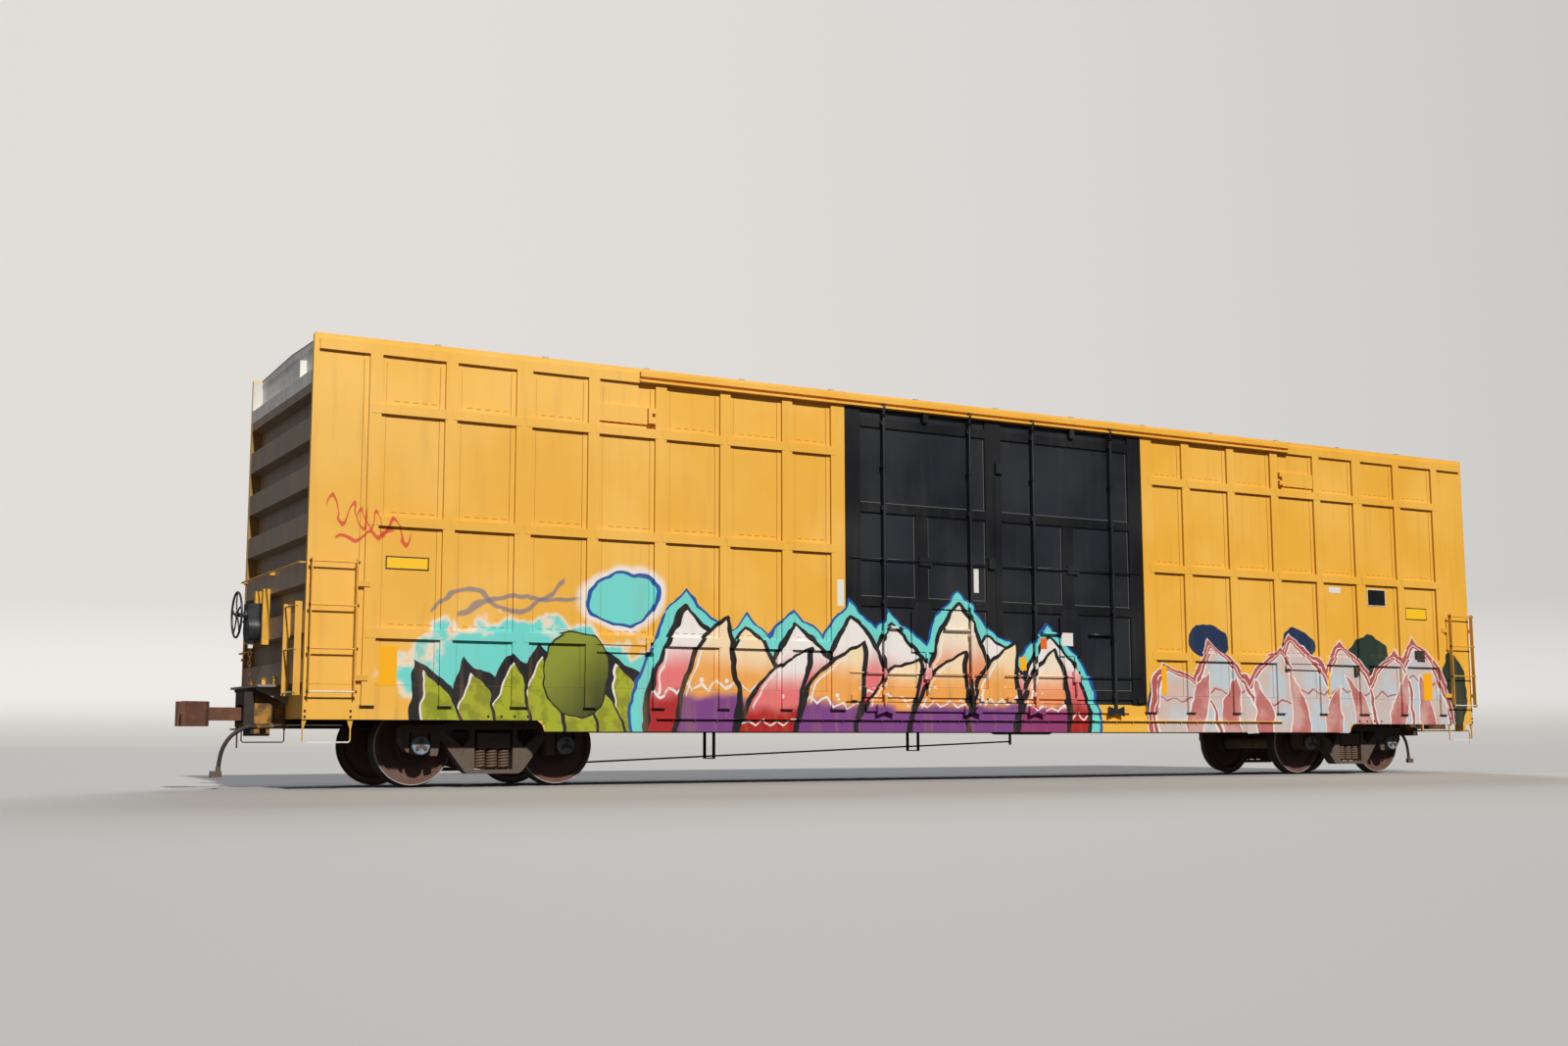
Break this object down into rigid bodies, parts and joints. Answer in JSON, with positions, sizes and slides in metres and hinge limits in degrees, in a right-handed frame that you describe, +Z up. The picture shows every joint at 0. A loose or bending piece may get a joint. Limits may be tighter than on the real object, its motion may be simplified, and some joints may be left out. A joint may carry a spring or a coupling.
{
  "type": "railroad boxcar",
  "caption": "High-roof freight boxcar with posted sides and double plug doors on each side, riding on swivelling four-wheel trucks with knuckle couplers.",
  "frame": {"origin": "middle of the car at the lowest point of the wheel flanges", "axes": "+X towards the A end, -X towards the B end with the hand brake, +Z up, the car's right side is -Y"},
  "size_m": [20.85, 3.264, 5.1224],
  "materials": {
    "yellow_paint": "weathered satin",
    "black_paint": "weathered satin",
    "under_paint": "dusty matt",
    "roof_zinc": "weathered galvanised",
    "floor_wood": "worn",
    "truck_cast": "dusty",
    "spring_steel": "rusty",
    "wheel_steel": "rusty",
    "axle_steel": "greasy",
    "coupler_cast": "rusty",
    "brake_paint": "satin",
    "grating_steel": "galvanised",
    "hose_rubber": "matt",
    "glad_cast": "rusty"
  },
  "bodies": {
    "car_body": {"air_hose_a": "hose_rubber", "air_hose_b": "hose_rubber", "air_reservoir": "under_paint", "body_bolsters": "under_paint", "brake_cylinder": "under_paint", "brake_gear_housing": "brake_paint", "brake_pipe": "under_paint", "brake_platform": "grating_steel", "brake_valve": "under_paint", "brake_wheel": "brake_paint", "centre_sill": "under_paint", "crossbearers": "under_paint", "door_left_a": "black_paint", "door_left_b": "black_paint", "door_right_a": "black_paint", "door_right_b": "black_paint", "door_tracks": "yellow_paint", "end_handholds": "yellow_paint", "end_ladders": "yellow_paint", "end_sills": "yellow_paint", "end_wall_a": "yellow_paint", "end_wall_b": "yellow_paint", "floor": "floor_wood", "glad_hand_a": "glad_cast", "glad_hand_b": "glad_cast", "lock_bars": "black_paint", "roof": "roof_zinc", "side_ladders": "yellow_paint", "side_sills": "yellow_paint", "sill_steps": "yellow_paint", "strikers": "yellow_paint", "top_chords": "yellow_paint", "uncoupling_levers": "yellow_paint", "wall_left_a": "yellow_paint", "wall_left_b": "yellow_paint", "wall_right_a": "yellow_paint", "wall_right_b": "yellow_paint"},
    "truck_b": {"bearings_b": "truck_cast", "brake_beams_b": "truck_cast", "side_frames_b": "truck_cast", "springs_b": "spring_steel", "truck_bolster_b": "truck_cast"},
    "truck_a": {"bearings_a": "truck_cast", "brake_beams_a": "truck_cast", "side_frames_a": "truck_cast", "springs_a": "spring_steel", "truck_bolster_a": "truck_cast"},
    "wheelset_1": {"axle_1": "axle_steel", "wheels_1": "wheel_steel"},
    "wheelset_2": {"axle_2": "axle_steel", "wheels_2": "wheel_steel"},
    "wheelset_3": {"axle_3": "axle_steel", "wheels_3": "wheel_steel"},
    "wheelset_4": {"axle_4": "axle_steel", "wheels_4": "wheel_steel"},
    "coupler_b": {"coupler_b": "coupler_cast", "knuckle_b": "coupler_cast"},
    "coupler_a": {"coupler_a": "coupler_cast", "knuckle_a": "coupler_cast"}
  },
  "joints": [
    {"name": "truck_swivel_b", "type": "hinge", "parent": "car_body", "child": "truck_b", "pos_m": [-7.0485, 0, 0.65], "axis": [0, 0, 1], "range_deg": [-8, 8]},
    {"name": "truck_swivel_a", "type": "hinge", "parent": "car_body", "child": "truck_a", "pos_m": [7.0485, 0, 0.65], "axis": [0, 0, 1], "range_deg": [-8, 8]},
    {"name": "wheelset_spin_1", "type": "hinge", "parent": "truck_b", "child": "wheelset_1", "pos_m": [-7.9375, 0, 0.4826], "axis": [0, 1, 0], "continuous": true},
    {"name": "wheelset_spin_2", "type": "hinge", "parent": "truck_b", "child": "wheelset_2", "pos_m": [-6.1595, 0, 0.4826], "axis": [0, 1, 0], "continuous": true},
    {"name": "wheelset_spin_3", "type": "hinge", "parent": "truck_a", "child": "wheelset_3", "pos_m": [6.1595, 0, 0.4826], "axis": [0, 1, 0], "continuous": true},
    {"name": "wheelset_spin_4", "type": "hinge", "parent": "truck_a", "child": "wheelset_4", "pos_m": [7.9375, 0, 0.4826], "axis": [0, 1, 0], "continuous": true},
    {"name": "coupler_swing_b", "type": "hinge", "parent": "car_body", "child": "coupler_b", "pos_m": [-9.258, 0, 0.8454], "axis": [0, 0, 1], "range_deg": [-8, 8]},
    {"name": "coupler_swing_a", "type": "hinge", "parent": "car_body", "child": "coupler_a", "pos_m": [9.258, 0, 0.8454], "axis": [0, 0, 1], "range_deg": [-8, 8]}
  ]
}
